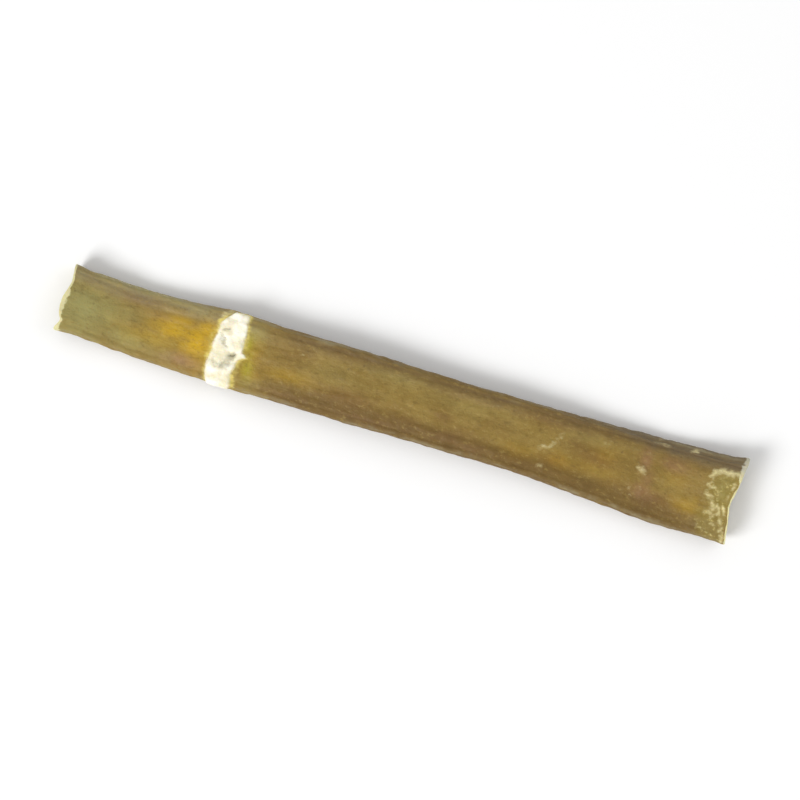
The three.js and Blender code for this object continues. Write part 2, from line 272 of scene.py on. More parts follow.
def straight_strap():
    bpy.ops.object.select_all(action="DESELECT")
    bpy.ops.mesh.primitive_cube_add(size=1, location=(0, 0, 0), scale=(LENGTH * MM, MM, MM))
    strap = bpy.context.object
    strap.name = strap.data.name = "flake_body"
    bpy.ops.object.transform_apply(location=True, rotation=True, scale=True)
    bpy.ops.object.mode_set(mode="EDIT")

    # Rings along it, close together behind the cuts, and rows round its section.
    rings = list(np.arange(-HALF_LENGTH + FIRST_RING, HALF_LENGTH - PAST_LAST_RING, RING_STEP))
    rings += [end * (HALF_LENGTH - inward) for end in (-1, 1) for inward in RINGS_BY_A_CUT]
    cut_across(0, [ring * MM for ring in rings])
    cut_across(1, [side * 0.5 * MM for side in ROWS_ACROSS])
    cut_across(2, [height * 0.5 * MM for height in ROWS_UP])

    def at_row(side, height):
        side, height = side * 0.5 * MM, height * 0.5 * MM
        return lambda v: abs(abs(v.co.y) - side) < NEAR and abs(abs(v.co.z) - height) < NEAR

    for (side, height), (narrower, lower) in ROUNDED:
        pick(strap, at_row(side, height))
        bpy.ops.transform.resize(value=(1, narrower / side, lower / height), center_override=(0, 0, 0))

    # Each ring gets the strap's width and thickness at its place.
    for ring in sorted(rings + [-HALF_LENGTH, HALF_LENGTH]):
        width, thick = (float(value[0]) * OUTER_SHARE for value in strap_at(np.array([ring]))[:2])
        pick(strap, lambda v: abs(v.co.x - ring * MM) < NEAR)
        bpy.ops.transform.resize(value=(1, width, thick), center_override=(ring * MM, 0, 0))

    # The cut ends: a rim of skin round the pith, which has shrunk back.
    for end in (-1, 1):
        pick(strap, lambda f: f.normal.x * end > 0.9, "FACE")
        bpy.ops.mesh.inset(thickness=SKIN * MM, depth=0)
        bpy.ops.transform.translate(value=(-end * PITH_RECESS * MM, 0, 0))
        bpy.ops.mesh.inset(thickness=PITH_LIP * MM, depth=0)
    bpy.ops.object.mode_set(mode="OBJECT")

    smoothing = strap.modifiers.new("smoothing", "SUBSURF")
    smoothing.levels = smoothing.render_levels = SMOOTHING
    finish_modifiers(strap)
    bpy.ops.object.shade_smooth()
    return strap


# The tints of the dried skin: x, y, reach along, reach across and strength of each patch. Here and in the
# marks below, y is measured across the flake as it lies, with the strap's sway.
TINTS = {
    # Amber is partly painted glow: the patches round the split stand for light showing through the thin skin
    # over the pith, the others are the skin's own tint.
    "amber": [
        (-9.4, -0.2, 0.8, 0.75, 1.0), (-10.5, 0.0, 1.0, 0.45, 0.8), (-11.4, -0.6, 1.4, 0.4, 0.4),
        (-9.1, 0.4, 0.6, 0.5, 0.85), (-9.0, -0.8, 0.4, 0.5, 0.45), (-10.3, 0.5, 0.8, 0.35, 0.55),
        (13.4, -1.0, 0.7, 0.42, 0.5), (12.6, 0.1, 0.6, 0.35, 0.15), (9.0, -0.5, 1.2, 0.4, 0.15),
        (5.6, -0.8, 0.9, 0.35, 0.25), (7.3, -0.7, 0.7, 0.35, 0.3), (9.3, 0.2, 0.6, 0.4, 0.2),
        (-5.2, -0.5, 1.2, 0.35, 0.3), (-6.6, -0.9, 0.5, 0.3, 0.35), (-6.9, 0.0, 0.5, 0.8, 0.3),
        (-7.05, -0.8, 0.28, 0.42, 0.3),
    ],
    "lime": [(-7.2, 0.36, 0.18, 0.36, 0.8), (-6.98, -0.72, 0.26, 0.42, 0.8), (-7.0, -0.1, 0.2, 0.3, 0.4)],
    "khaki": [
        (-14.6, -0.2, 1.7, 1.3, 1.0), (-12.6, -0.9, 1.6, 0.55, 0.7), (-12.9, 0.0, 0.9, 0.8, 0.5),
        (-12.2, 1.3, 3.0, 0.3, 0.8), (-9.6, 1.2, 1.0, 0.35, 0.6), (-7.0, 0.9, 0.6, 0.5, 0.7),
        (-6.7, -1.2, 0.5, 0.3, 0.5), (-3.2, 0.2, 1.5, 0.5, 0.2), (2.6, 0.65, 1.9, 0.5, 0.2),
        (-13.4, 1.3, 1.9, 0.25, 0.7), (-0.6, 0.9, 1.6, 0.4, 0.25), (14.75, 0.25, 0.5, 0.75, 0.55),
        (8.4, 0.7, 1.0, 0.3, 0.2), (14.3, -1.3, 0.8, 0.4, 0.4), (-10.6, -1.1, 0.8, 0.3, 0.3),
    ],
    "brown": [
        (-2.6, -0.7, 1.5, 0.45, 0.9), (0.4, -0.95, 1.2, 0.3, 0.6), (1.9, -0.25, 0.5, 0.3, 0.6),
        (-5.2, 0.5, 1.3, 0.5, 0.45), (-12.6, 0.85, 1.5, 0.32, 0.55), (-11.2, 0.45, 0.5, 0.25, 0.5),
        (2.9, -0.8, 1.0, 0.4, 0.4), (8.0, 0.25, 0.6, 0.3, 0.45), (12.7, 0.75, 1.1, 0.4, 0.5),
        (10.1, -0.85, 0.8, 0.35, 0.4), (4.4, 0.1, 0.8, 0.4, 0.3), (6.4, 0.95, 1.8, 0.3, 0.6),
        (7.1, -0.75, 0.6, 0.35, 1.0), (5.4, -1.1, 1.5, 0.3, 0.5), (9.0, 0.0, 0.9, 0.4, 0.95),
        (-3.0, 1.15, 1.1, 0.24, 0.4), (9.1, 1.15, 1.1, 0.24, 0.4), (13.5, 1.0, 0.5, 0.24, 0.45),
        (3.2, 0.95, 1.5, 0.28, 0.42), (-9.15, -1.1, 0.35, 0.3, 0.25), (13.0, 0.2, 0.9, 0.35, 0.22),
        (12.1, -1.05, 0.75, 0.42, 1.0), (9.4, 0.25, 0.5, 0.3, 0.4), (-11.6, 1.05, 0.6, 0.25, 0.5),
    ],
    "rosy": [
        (11.2, -0.9, 0.5, 0.4, 0.8), (11.1, 0.55, 0.28, 0.55, 0.7), (11.4, -0.3, 0.3, 0.5, 0.5),
        (12.3, 0.7, 0.5, 0.3, 0.5), (-9.9, -1.15, 0.7, 0.3, 0.75), (2.3, -1.1, 0.9, 0.25, 0.6),
        (-1.2, -1.35, 1.6, 0.16, 0.7), (-5.0, -1.35, 1.2, 0.16, 0.5), (3.4, -1.25, 0.6, 0.25, 0.7),
    ],
}
# Pale scratches, specks and crumbs: from x, y to x, y, half width and strength.
SCRATCHES = [
    (6.34, -0.32, 6.7, -0.2, 0.17, 0.42), (6.7, -0.2, 6.98, 0.08, 0.15, 0.38),
    (6.98, 0.08, 7.2, 0.5, 0.18, 0.4), (10.86, 0.2, 10.98, 0.1, 0.13, 0.7),
    (10.98, 0.14, 11.06, 0.0, 0.14, 0.75), (9.1, 0.7, 9.34, 0.76, 0.14, 0.38),
    (6.52, -1.08, 6.68, -1.02, 0.12, 0.44), (12.96, 1.62, 13.16, 1.68, 0.11, 0.8),
    (11.3, 1.58, 11.9, 1.52, 0.13, 0.42), (-14.8, 1.4, -11.2, 1.32, 0.13, 0.36),
    (-8.6, 1.26, -8.34, 1.5, 0.2, 0.72), (-2.7, -0.55, -0.2, -0.06, 0.1, 0.16),
    (-4.95, 0.62, -4.7, 0.64, 0.06, 0.3), (0.05, -0.42, 0.15, -0.4, 0.05, 0.5),
    (-4.6, -0.12, -4.4, -0.14, 0.05, 0.3), (10.7, -0.86, 10.76, -0.82, 0.1, 0.34),
    (11.12, -0.66, 11.18, -0.72, 0.1, 0.34), (10.8, -1.16, 10.86, -1.12, 0.09, 0.3),
    (11.15, 0.88, 11.2, 0.8, 0.1, 0.32), (11.5, -0.9, 11.56, -0.86, 0.08, 0.28),
    (3.9, 0.9, 4.2, 0.92, 0.05, 0.3), (2.2, 0.34, 2.7, 0.32, 0.05, 0.2),
]
# The pale, broken outline of the patch where the skin has come off beside the wide cut end.
WORN_EDGE = [
    (14.0, 0.75, 14.15, 0.95, 0.11, 0.7), (14.15, 0.97, 14.5, 1.12, 0.14, 0.9),
    (14.5, 1.12, 14.95, 1.12, 0.15, 0.95), (14.95, 1.12, 15.3, 1.2, 0.15, 0.85),
    (13.95, 0.34, 14.3, 0.3, 0.1, 0.7), (14.12, 0.6, 14.14, 0.5, 0.09, 0.5),
    (14.0, 0.0, 14.3, -0.15, 0.13, 0.55), (14.66, -0.44, 14.86, -0.5, 0.12, 0.8),
    (14.24, -0.82, 14.4, -0.8, 0.13, 0.7), (14.5, -0.98, 14.62, -0.9, 0.13, 0.65),
    (15.08, -0.4, 15.2, -0.56, 0.13, 1.0), (14.8, -0.78, 14.92, -0.72, 0.12, 0.7),
    (15.0, -1.0, 15.08, -1.1, 0.15, 0.7), (15.2, -1.32, 15.12, -1.42, 0.13, 0.7),
    (15.3, -1.62, 15.26, -1.78, 0.14, 0.75), (14.6, -1.22, 14.8, -1.3, 0.1, 0.5),
    (14.55, 0.5, 14.65, 0.36, 0.08, 0.4), (15.22, 0.7, 15.24, 0.5, 0.12, 0.6),
    (15.2, 0.2, 15.22, 0.05, 0.12, 0.5), (14.34, -0.36, 14.5, -0.6, 0.16, 0.7),
]
# Dark specks and small cracks. The last one is a painted shadow just below the raised edge of the worn patch.
DARK_MARKS = [
    (-7.28, 0.22, -7.3, 0.52, 0.07, 0.8), (-7.05, -0.5, -7.0, -0.68, 0.1, 0.5),
    (0.1, -0.12, 0.16, -0.1, 0.05, 0.6), (1.0, -0.1, 1.1, -0.12, 0.05, 0.5),
    (1.1, -0.5, 1.2, -0.5, 0.06, 0.5), (-12.1, 0.02, -12.0, -0.06, 0.05, 0.4),
    (4.1, 0.45, 4.2, 0.5, 0.05, 0.4), (10.6, 0.2, 10.8, 0.1, 0.07, 0.35),
    (12.1, 1.2, 13.9, 1.24, 0.05, 0.5), (13.3, -0.72, 13.4, -0.9, 0.08, 0.3),
    (14.45, 0.76, 14.9, 0.8, 0.12, 0.55),
]
MARK_STRAYS = (0.07, 0.06)  # how far these marks stray from their lines in x and y
WORN_EDGE_HEIGHT, SCRATCH_HEIGHT, DARK_DEPTH = 0.024, 0.015, 0.025

# Where the looks of the margins and the ends lie: x along the strap, side across it, and up from -1 on the
# underside to 1 on top. A pair is where a look begins and where it is full, or from where to where it fades.
RIM_UP, RIM_HALF, RIM_OUTWARD = 0.72, 0.18, (0.2, 0.45)  # the pale rim of a margin
RIM_SINKS, RIM_SINKS_X = 0.42, (4, 11)  # how much lower it lies where the +Y margin turns down
SHOULDER_SIDE, SHOULDER_MOVES, SHOULDER_X = 1.04, 0.42, (5, 14.5)  # the top of that margin's slope, with painted shade and sheen below it
SHOULDER_RAGGED, SHOULDER_RAGGED_X = 0.06, (3, 12)
SLATE_BEFORE, SLATE_PAST = 0.12, 0.2  # how far before it the painted shade and sheen begins, and how far past it it is full
SLATE_X, SLATE_LOWEST = (3, 11), -0.4
FURROW_ASIDE, FURROW_X = 0.02, (-10, -7)  # painted shade along the groove inside the +Y margin's rim
LOWER_FLANK, LOWER_EDGE, UPPER_FLANK = (0.22, 0.68), (0.7, 0.85), (0.5, 0.85)  # painted shade on the sides of the face, darker towards each margin
FLANK_X, FLANK_LOWEST = (-7.9, -4.4), -0.5
DUST_SIDE, DUST_THINS_X = (0.42, 0.66), (-9, -6)  # greyish dust along the +Y side
WORN_X, WORN_FADES_SIDE = (13.7, 14.5), (0.45, 0.62)  # the skin that has come off beside the wide cut end
NARROW_EDGE, WIDE_EDGE = 0.14, 0.12  # how wide the pale edge of each cut is, in mm
NARROW_EDGE_WIDER = [(0.22, -0.2, 0.36), (0.16, -0.95, 0.09)]  # by how much, at which side and half width
WIDE_EDGE_WIDER, WIDE_EDGE_SIDE = 0.14, (0.42, 0.6)


class Places:
    """Where the points of the straight strap are, in mm, and random numbers there."""

    def __init__(self, points):
        self.x, self.y, self.z = points.T
        self.width, self.thick, self.sway, self.lift, self.twist = strap_at(self.x)
        self.half = self.width / 2
        self.side = self.y / self.half
        self.laid_y = self.y + self.sway
        self.end = np.sign(self.x)
        self.from_end = HALF_LENGTH - np.abs(self.x)

        # The way outwards, which is shorter than 1 inside a cut face.
        past_flat = np.maximum(np.abs(self.y) - (self.half - MARGIN), 0)
        self.out_y = np.sign(self.y) * past_flat / MARGIN
        self.out_z = self.z / (self.thick / 2)
        self.outward = np.hypot(self.out_y, self.out_z)
        self.in_face = (1 - smooth(self.outward, *PITH_TO_SKIN)) * (self.from_end < PITH_DEEP)
        self.on_top = smooth(self.out_z, 0, 0.5)

        self.coarse = grain(points, size=0.55, seed=3.0)
        self.fine = grain(points, size=0.2, seed=11.0)
        self.streaks = grain(points, size=(2.6, 0.26, 0.4), seed=23.0)
        self.creases = grain(points, size=(0.7, 1.3, 1.0), seed=37.0, octaves=2)
        self.crinkles = np.abs(grain(points, size=(1.1, 0.42, 0.6), seed=71.0))

        # The cuts' own grain is the same all the way in, and another at each end.
        across = np.stack([self.y, self.z, self.end * ENDS_APART], 1)
        self.chips = grain(across, size=(0.7, 0.9, 1.0), seed=51.0, octaves=5)
        self.pores = grain(across, size=(0.35, 0.25, 1.0), seed=87.0)
        self.find_split()

    def find_split(self):
        """How much of the swollen pith shows, 0 to 1, how near the skin is to it, and the cracks in it."""
        torn = 0.7 * self.coarse + 0.5 * self.fine
        middle = SPLIT_X + SPLIT_SLANT * np.sin(2.4 * self.side + 0.5)
        wave = np.sin(5 * self.side + 1) + 0.7 * np.sin(13 * self.side)
        half = SPLIT_HALF + SPLIT_RAGGED * (0.6 * wave + torn)
        ends_at = np.minimum(SPLIT_ENDS_AT + SPLIT_END_SLOPE * (self.x - SPLIT_X), SPLIT_LAST_END)
        ends_at = ends_at + 0.03 * torn
        tongue = TONGUE_REACH * bump(self.side - TONGUE_SIDE, TONGUE_HALF) * (self.x > middle)
        foot = FOOT_NARROWS * smooth(-self.side, FOOT_FROM_SIDE, 1) * (self.x < middle)
        off = np.abs(self.x - middle) - half - tongue + foot
        above = smooth(self.out_z + 0.35 * self.coarse, *SPLIT_LOWEST)
        before, past = SPLIT_END_FADES
        self.split = above * (1 - smooth(off, -SPLIT_EDGE, SPLIT_EDGE))
        self.split = self.split * (1 - smooth(self.side, ends_at - before, ends_at + past))

        # A painted glow on the skin beside the split, where light shows through the thin skin over the pith.
        past_end = np.maximum(self.side - ends_at, 0) * self.half
        fringe = SPLIT_HALO * (1 + 0.8 * self.creases)
        on_wall = np.where(self.side < 0, above, smooth(self.out_z, *HALO_LOWEST))
        self.halo = bump(np.maximum(np.maximum(off, 0), past_end), fringe) * on_wall

        stray_x, stray_y = CRACK_STRAYS
        self.cracks = np.zeros_like(self.x)
        for *line, strength in SPLIT_CRACKS:
            near = stroke(self.x + stray_x * self.fine, self.y + stray_y * self.coarse, line)
            self.cracks = np.maximum(self.cracks, strength * near * self.split)

    def marks(self, table):
        """The strength of pale or dark marks on the upper face, with ragged edges."""
        stray_x, stray_y = MARK_STRAYS
        total = np.zeros_like(self.x)
        for *line, strength in table:
            near = stroke(self.x + stray_x * self.coarse, self.laid_y + stray_y * self.fine, line)
            total = np.maximum(total, strength * near)
        return total * self.on_top

    def patches(self, table):
        """The strength of a tint, whose patches have uneven outlines."""
        total = np.zeros_like(self.x)
        for x, y, along, across, strength in table:
            aside = np.hypot((self.x - x) / along, (self.laid_y - y) / across)
            uneven = 1 + 0.3 * self.creases + 0.2 * self.coarse
            total = np.maximum(total, strength * bump(aside * uneven, 1))
        return total


def fine_skin(at, streaks, creases, fine, crinkles):
    """The skin's finest grain, with the height of each kind in mm."""
    return streaks * at.streaks + creases * at.creases + fine * at.fine + crinkles * at.crinkles


def upper_relief(at):
    """How far the upper face stands above the flat strap, in mm."""
    crown = CROWN * (1 - at.side**2)
    lips = LIP_HEIGHT * bump(np.abs(at.side) - LIP_SIDE, LIP_HALF) * (1 + 0.35 * at.streaks)
    groove = -GROOVE_DEPTH * bump(np.abs(at.side) - GROOVE_SIDE, GROOVE_HALF)
    rolled = -ROLL_DROP * smooth(at.side, ROLL_FROM_SIDE, 1) * smooth(at.x, ROLL_FROM_X, ROLL_TO_X)
    warts = sum(height * bump(np.hypot(at.x - x, at.y - y), radius) for x, y, height, radius in WARTS)
    lumps = lumpy(at.x, at.y)
    pith = SPLIT_HEIGHT + SPLIT_LUMPS * (lumps + 0.9 * at.coarse + 0.9 * at.fine) - CRACK_DEPTH * at.cracks
    crackled = smooth(at.x, CRACKLE_FROM_X, CRACKLE_TO_X)
    crackled = crackled * (1 - smooth(at.side, CRACKLE_FROM_SIDE, CRACKLE_TO_SIDE))
    crackle = crackled * CRACKLE_HEIGHT * (0.6 * lumps + at.coarse + 0.5 * at.fine)
    marks = WORN_EDGE_HEIGHT * at.marks(WORN_EDGE) + SCRATCH_HEIGHT * at.marks(SCRATCHES)
    marks = marks - DARK_DEPTH * at.marks(DARK_MARKS)
    finest = fine_skin(at, streaks=0.016, creases=0.014, fine=0.006, crinkles=0.05)
    skin = crown + lips + groove + rolled + warts + wrinkles(at.x, at.side) + folds(TOP_FOLDS, at.x, at.y)
    return skin + at.split * pith + crackle + marks + finest * (1 - at.split)


def under_relief(at):
    """How far the underside stands below the flat strap, in mm."""
    hollow = -CHANNEL * (1 - at.side**2) ** 2
    finest = fine_skin(at, streaks=0.016, creases=0.01, fine=0.004, crinkles=0.05)
    return hollow + wrinkles(at.x + UNDER_SHIFT, -at.side) - folds(UNDER_FOLDS, at.x, at.y) + finest


def cut_bow(at, near_skin):
    """How far a cut bows out from a straight one, in mm. The pith follows only the wide bows."""
    total = np.zeros_like(at.x)
    for end, table in ((-1, NARROW_END_BOWS), (1, WIDE_END_BOWS)):
        for out, side, half in table:
            share = 1 if half > WIDE_BOW else near_skin
            total += out * bump(at.side - side, half) * share * (at.end == end)
    return total


def dry(strap):
    """Moves every point of the straight strap to its place on the dried flake, and notes how it looks."""
    mesh = strap.data
    points = np.empty(len(mesh.vertices) * 3)
    mesh.vertices.foreach_get("co", points)
    at = Places(points.reshape(-1, 3) / MM)

    # The relief of the skin, which fades round the margins, and the curl at the cuts.
    up, down = np.clip(at.out_z, 0, 1), np.clip(-at.out_z, 0, 1)
    wall = 1 - np.abs(np.clip(at.out_z, -1, 1))
    pith = SPLIT_AT_MARGIN * SPLIT_HEIGHT * at.split
    furrow = bump(at.out_z - WALL_FURROW_UP + 0.2 * at.creases, WALL_FURROW_HALF)
    furrow = -WALL_FURROW * furrow * (1 + 0.6 * at.streaks)
    wrinkled = furrow + 0.012 * at.coarse + 0.02 * at.streaks + 0.05 * at.crinkles
    margin = wall * (pith + wrinkled * (1 - at.split))
    flare = END_FLARE * (1 - smooth(at.from_end, 0, FLARE_REACH))
    relief = up * upper_relief(at) + down * under_relief(at) + margin + flare
    y = at.y + relief * at.out_y
    z = at.z + relief * at.out_z

    # The cut ends: a torn edge of skin and lumpy pith.
    near_skin = smooth(at.outward, *TORN_OUTWARD)
    torn = cut_bow(at, near_skin) + CHIPS * at.chips * near_skin
    torn = torn * (1 - smooth(at.from_end, 0, CUT_REACH))
    x = at.x + at.end * (torn + at.in_face * PITH_ROUGH * at.pores)

    # The strap's twist, sway and bow, flattened where it touches the bed.
    turned_y = at.sway + y * np.cos(at.twist) - z * np.sin(at.twist)
    turned_z = at.lift + at.thick / 2 + y * np.sin(at.twist) + z * np.cos(at.twist)
    laid = np.stack([x, turned_y, np.maximum(turned_z, 0)], 1)
    middle = (laid.max(0) + laid.min(0)) / 2
    laid[:, :2] -= middle[:2]
    mesh.vertices.foreach_set("co", (laid * MM).ravel())
    mesh.update()
    note_looks(mesh, at)


def note_looks(mesh, at):
    """Writes what each point shows, from 0 to 1, for the finish to read."""
    # The margins: pale rims, painted shade along the furrow inside the +Y one, and painted shade and sheen on
    # the slope where it turns down.
    rim_up = RIM_UP - RIM_SINKS * smooth(at.x, *RIM_SINKS_X) * (at.side > 0) + 0.1 * at.creases
    rim = bump(at.out_z - rim_up, RIM_HALF) * (0.55 + 0.8 * at.streaks + 0.5 * at.coarse)
    rim = rim * smooth(np.abs(at.out_y), *RIM_OUTWARD)
    furrow = bump(np.abs(at.side) - GROOVE_SIDE - FURROW_ASIDE, GROOVE_HALF)
    furrow = furrow * (at.side > 0) * (at.out_z > 0)
    furrow = furrow * (0.7 + 0.5 * at.streaks) * smooth(at.x, *FURROW_X)
    shoulder = SHOULDER_SIDE - SHOULDER_MOVES * smooth(at.x, *SHOULDER_X)
    shoulder = shoulder - SHOULDER_RAGGED * at.coarse * smooth(at.x, *SHOULDER_RAGGED_X)
    slope_shade_and_sheen = smooth(at.side, shoulder - SLATE_BEFORE, shoulder + SLATE_PAST)
    slope_shade_and_sheen = slope_shade_and_sheen * smooth(at.x, *SLATE_X) * (at.out_z > SLATE_LOWEST)

    # Beside the margins: painted shade on the flanks, darker towards each side as on a domed face, and dust
    # along the +Y one.
    lower_flank_shade = 0.88 * smooth(-at.side, *LOWER_FLANK) + 0.12 * smooth(-at.side, *LOWER_EDGE)
    painted_flank_shade = np.where(at.side < 0, lower_flank_shade, 0.66 * smooth(at.side, *UPPER_FLANK))
    painted_flank_shade = painted_flank_shade * smooth(at.x, *FLANK_X) * (at.out_z > FLANK_LOWEST)
    dust = smooth(at.side, *DUST_SIDE) * (0.8 + 0.6 * at.streaks) * at.on_top
    dust = dust * (1 - 0.75 * smooth(at.x, *DUST_THINS_X))

    # The ends: the pale edges of the cuts, and the skin that has come off beside the wide one.
    wider = (more * bump(at.side - side, half) for more, side, half in NARROW_EDGE_WIDER)
    narrow_edge = sum(wider, NARROW_EDGE)
    wide_edge = WIDE_EDGE + WIDE_EDGE_WIDER * smooth(at.side, *WIDE_EDGE_SIDE)
    edge = np.where(at.end < 0, narrow_edge, wide_edge) * (1 + 0.25 * at.fine + 0.55 * at.coarse)
    worn = smooth(at.x + 0.4 * at.coarse, *WORN_X)
    worn = worn * (1 - smooth(at.side + 0.15 * at.coarse, *WORN_FADES_SIDE))

    tints = {tint: at.patches(table) for tint, table in TINTS.items()}
    looks = {
        "pith": np.maximum(at.split, at.in_face),
        "painted crack shade": at.cracks,
        "halo": at.halo,
        "cut": np.maximum(1 - smooth(at.from_end, 0.4 * edge, edge), at.in_face),
        "lip": rim * (1 - at.split),
        "porous": at.in_face * (0.5 - 0.9 * at.pores),
        "worn": worn * smooth(at.out_z + 0.3 * at.coarse, -0.1, 0.5),
        "groove": furrow,
        "slope_shade_and_sheen": slope_shade_and_sheen,
        "painted_flank_shade": painted_flank_shade,
        "dust": dust,
        # Painted shade: darker on the side walls below their middle, and on the underside.
        "wall": smooth(-at.out_z, -0.1, 0.4),
        "under": smooth(-at.out_z, 0.3, 0.8),
        "pale": np.maximum(at.marks(SCRATCHES), at.marks(WORN_EDGE)),
        "dark": at.marks(DARK_MARKS),
        **tints,
    }
    for name, values in looks.items():
        shown = np.clip(values, 0, 1).astype(np.float32)
        mesh.attributes.new(name, "FLOAT", "POINT").data.foreach_set("value", shown)


# Materials.


class Wire:
    """A value in a material's node tree. Arithmetic on it adds Math nodes."""

    def __init__(self, finish, socket):
        self.finish, self.socket = finish, socket

    def maths(self, operation, *values):
        return self.finish.node("Math", {"operation": operation}, dict(enumerate(values)))

    def __add__(self, other):
        return self.maths("ADD", self, other)

    def __sub__(self, other):
        return self.maths("SUBTRACT", self, other)

    def __rsub__(self, other):
        return self.maths("SUBTRACT", other, self)

    def __mul__(self, other):
        return self.maths("MULTIPLY", self, other)

    def between(self, low, high):
        """0 at low, 1 at high and clamped."""
        limits = {"From Min": low, "From Max": high}
        return self.finish.node("MapRange", {"interpolation_type": "SMOOTHSTEP"}, {"Value": self, **limits})

    __radd__, __rmul__ = __add__, __mul__


class Finish:
    """A material and its nodes."""

    def __init__(self, name):
        self.material = bpy.data.materials.new(name)
        self.material.use_nodes = True
        self.tree = self.material.node_tree
        self.tree.nodes.clear()

    def node(self, kind, settings, sockets, out=0):
        made = self.tree.nodes.new("ShaderNode" + kind)
        for name, value in settings.items():
            setattr(made, name, value)
        for key, value in sockets.items():
            if isinstance(value, Wire):
                self.tree.links.new(value.socket, made.inputs[key])
            else:
                made.inputs[key].default_value = value
        return Wire(self, made.outputs[out]) if made.outputs else None

    def look(self, name):
        return self.node("Attribute", {"attribute_name": name}, {}, "Fac")

    def mix(self, share, first, second):
        sockets = {0: share, 6: first, 7: second}
        return self.node("Mix", {"data_type": "RGBA", "clamp_factor": True}, sockets, 2)

    def millimetres(self, stretch=(1, 1, 1)):
        """Object coordinates in mm, drawn out along each axis by stretch."""
        place = self.node("TexCoord", {}, {}, "Object")
        scale = [1 / MM / each for each in stretch]
        return self.node("Mapping", {"vector_type": "POINT"}, {"Vector": place, "Scale": scale}, "Vector")

    def mottle(self, place, size, detail=2.0, roughness=0.5):
        """Noise from 0 to 1 with features of about size mm."""
        sockets = {"Vector": place, "Scale": 1 / size, "Detail": detail, "Roughness": roughness}
        return self.node("TexNoise", {}, sockets, "Fac")

    def put_on(self, piece):
        piece.data.materials.clear()
        piece.data.materials.append(self.material)


# The flake's shades as a screen shows them: red, green and blue, from 0 to 255.
# Some of these stand for light: painted shade on the flanks, the lower walls and underside, the slope where
# the +Y margin turns down, the groove inside that margin, and the pith's patches, hollows and cracks; painted
# sheen on that slope; and painted glow beside the split, which is part of the amber too.
SHADES = {
    "olive": (128, 103, 40), "light olive": (140, 116, 52), "khaki": (148, 141, 84), "brown": (112, 80, 34),
    "amber": (192, 153, 4), "lime": (166, 158, 34), "rosy": (146, 108, 76), "painted_flank_shade": (96, 70, 24),
    "dark patch": (104, 82, 32), "dark streak": (100, 76, 30), "dust": (156, 148, 128),
    "dark mottle": (102, 79, 28), "light mottle": (164, 142, 76), "light streak": (164, 142, 84),
    "speck": (184, 166, 112), "pit": (84, 64, 26), "wall": (96, 76, 34), "underside": (88, 68, 36),
    "slope_shade_and_sheen": (106, 93, 70), "furrow": (88, 66, 34), "rim": (156, 147, 114), "dark mark": (84, 68, 24),
    "worn": (140, 124, 52), "worn spot": (190, 174, 106), "worn patch": (198, 186, 126),
    "pale mark": (220, 208, 154), "painted glow": (222, 204, 112), "cut": (214, 208, 158),
    "slate cut": (190, 187, 166), "pith": (250, 247, 232), "painted pith shade": (226, 218, 186),
    "pore": (196, 178, 124), "hollow": (170, 163, 136), "painted crack shade": (92, 88, 68),
}
PORE_SPACING = 0.7  # mm between the small hair pits of the skin


def shade(name):
    """One of the shades as the linear colour that a shader takes."""
    shares = [value / 255 for value in SHADES[name]]
    return (*[((c + 0.055) / 1.055) ** 2.4 if c > 0.04 else c / 12.92 for c in shares], 1)


